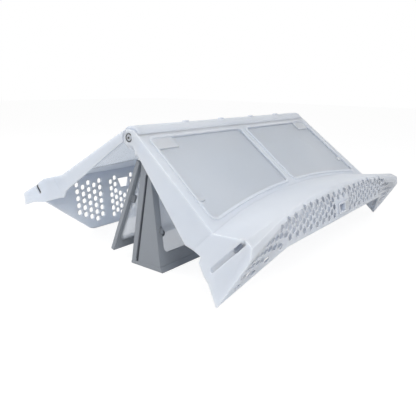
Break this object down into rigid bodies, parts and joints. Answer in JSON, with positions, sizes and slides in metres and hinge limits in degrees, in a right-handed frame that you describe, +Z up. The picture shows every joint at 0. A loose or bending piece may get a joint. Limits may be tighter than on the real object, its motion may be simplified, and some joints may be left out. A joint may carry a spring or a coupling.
{
  "type": "tumble dryer lint filter",
  "caption": "Two-leaf tumble dryer lint filter opened like a tent, with gauze windows, perforated flared heads and a grey inner wedge filter hanging from its hinge.",
  "frame": {"origin": "on the floor, at the middle of the open filter's box", "axes": "+X along the hinge ridge, +Y from the front leaf to the rear leaf, +Z up"},
  "size_m": [0.2948, 0.2386, 0.1066],
  "materials": {
    "white_plastic": "satin",
    "white_gauze": "fine woven mesh",
    "grey_plastic": "satin",
    "grey_gauze": "fine woven mesh"
  },
  "bodies": {
    "outer_front": {"outer_front_frame": "white_plastic", "outer_front_gauze_left": "white_gauze", "outer_front_gauze_right": "white_gauze"},
    "outer_rear": {"outer_rear_frame": "white_plastic", "outer_rear_gauze_left": "white_gauze", "outer_rear_gauze_right": "white_gauze"},
    "inner_box": {"inner_box_frame": "grey_plastic", "inner_box_gauze_left": "grey_gauze", "inner_box_gauze_right": "grey_gauze"},
    "inner_door": {"inner_door_frame": "grey_plastic", "inner_door_gauze_left": "grey_gauze", "inner_door_gauze_right": "grey_gauze"}
  },
  "joints": [
    {"name": "outer_hinge", "type": "hinge", "parent": "outer_front", "child": "outer_rear", "pos_m": [0, -0.00182, 0.09712], "axis": [1, 0, 0], "range_deg": [-96.6, 0]},
    {"name": "inner_box_pivot", "type": "hinge", "parent": "outer_front", "child": "inner_box", "pos_m": [0, -0.01068, 0.08573], "axis": [1, 0, 0], "range_deg": [-43.5, 0]},
    {"name": "inner_door_pivot", "type": "hinge", "parent": "inner_box", "child": "inner_door", "pos_m": [0, -0.01068, 0.08573], "axis": [1, 0, 0], "range_deg": [-14.1, 0]}
  ],
  "couplings": [
    {"joint": "inner_box_pivot", "follows": "outer_hinge", "ratio": 0.44942},
    {"joint": "inner_door_pivot", "follows": "outer_hinge", "ratio": 0.14481}
  ]
}
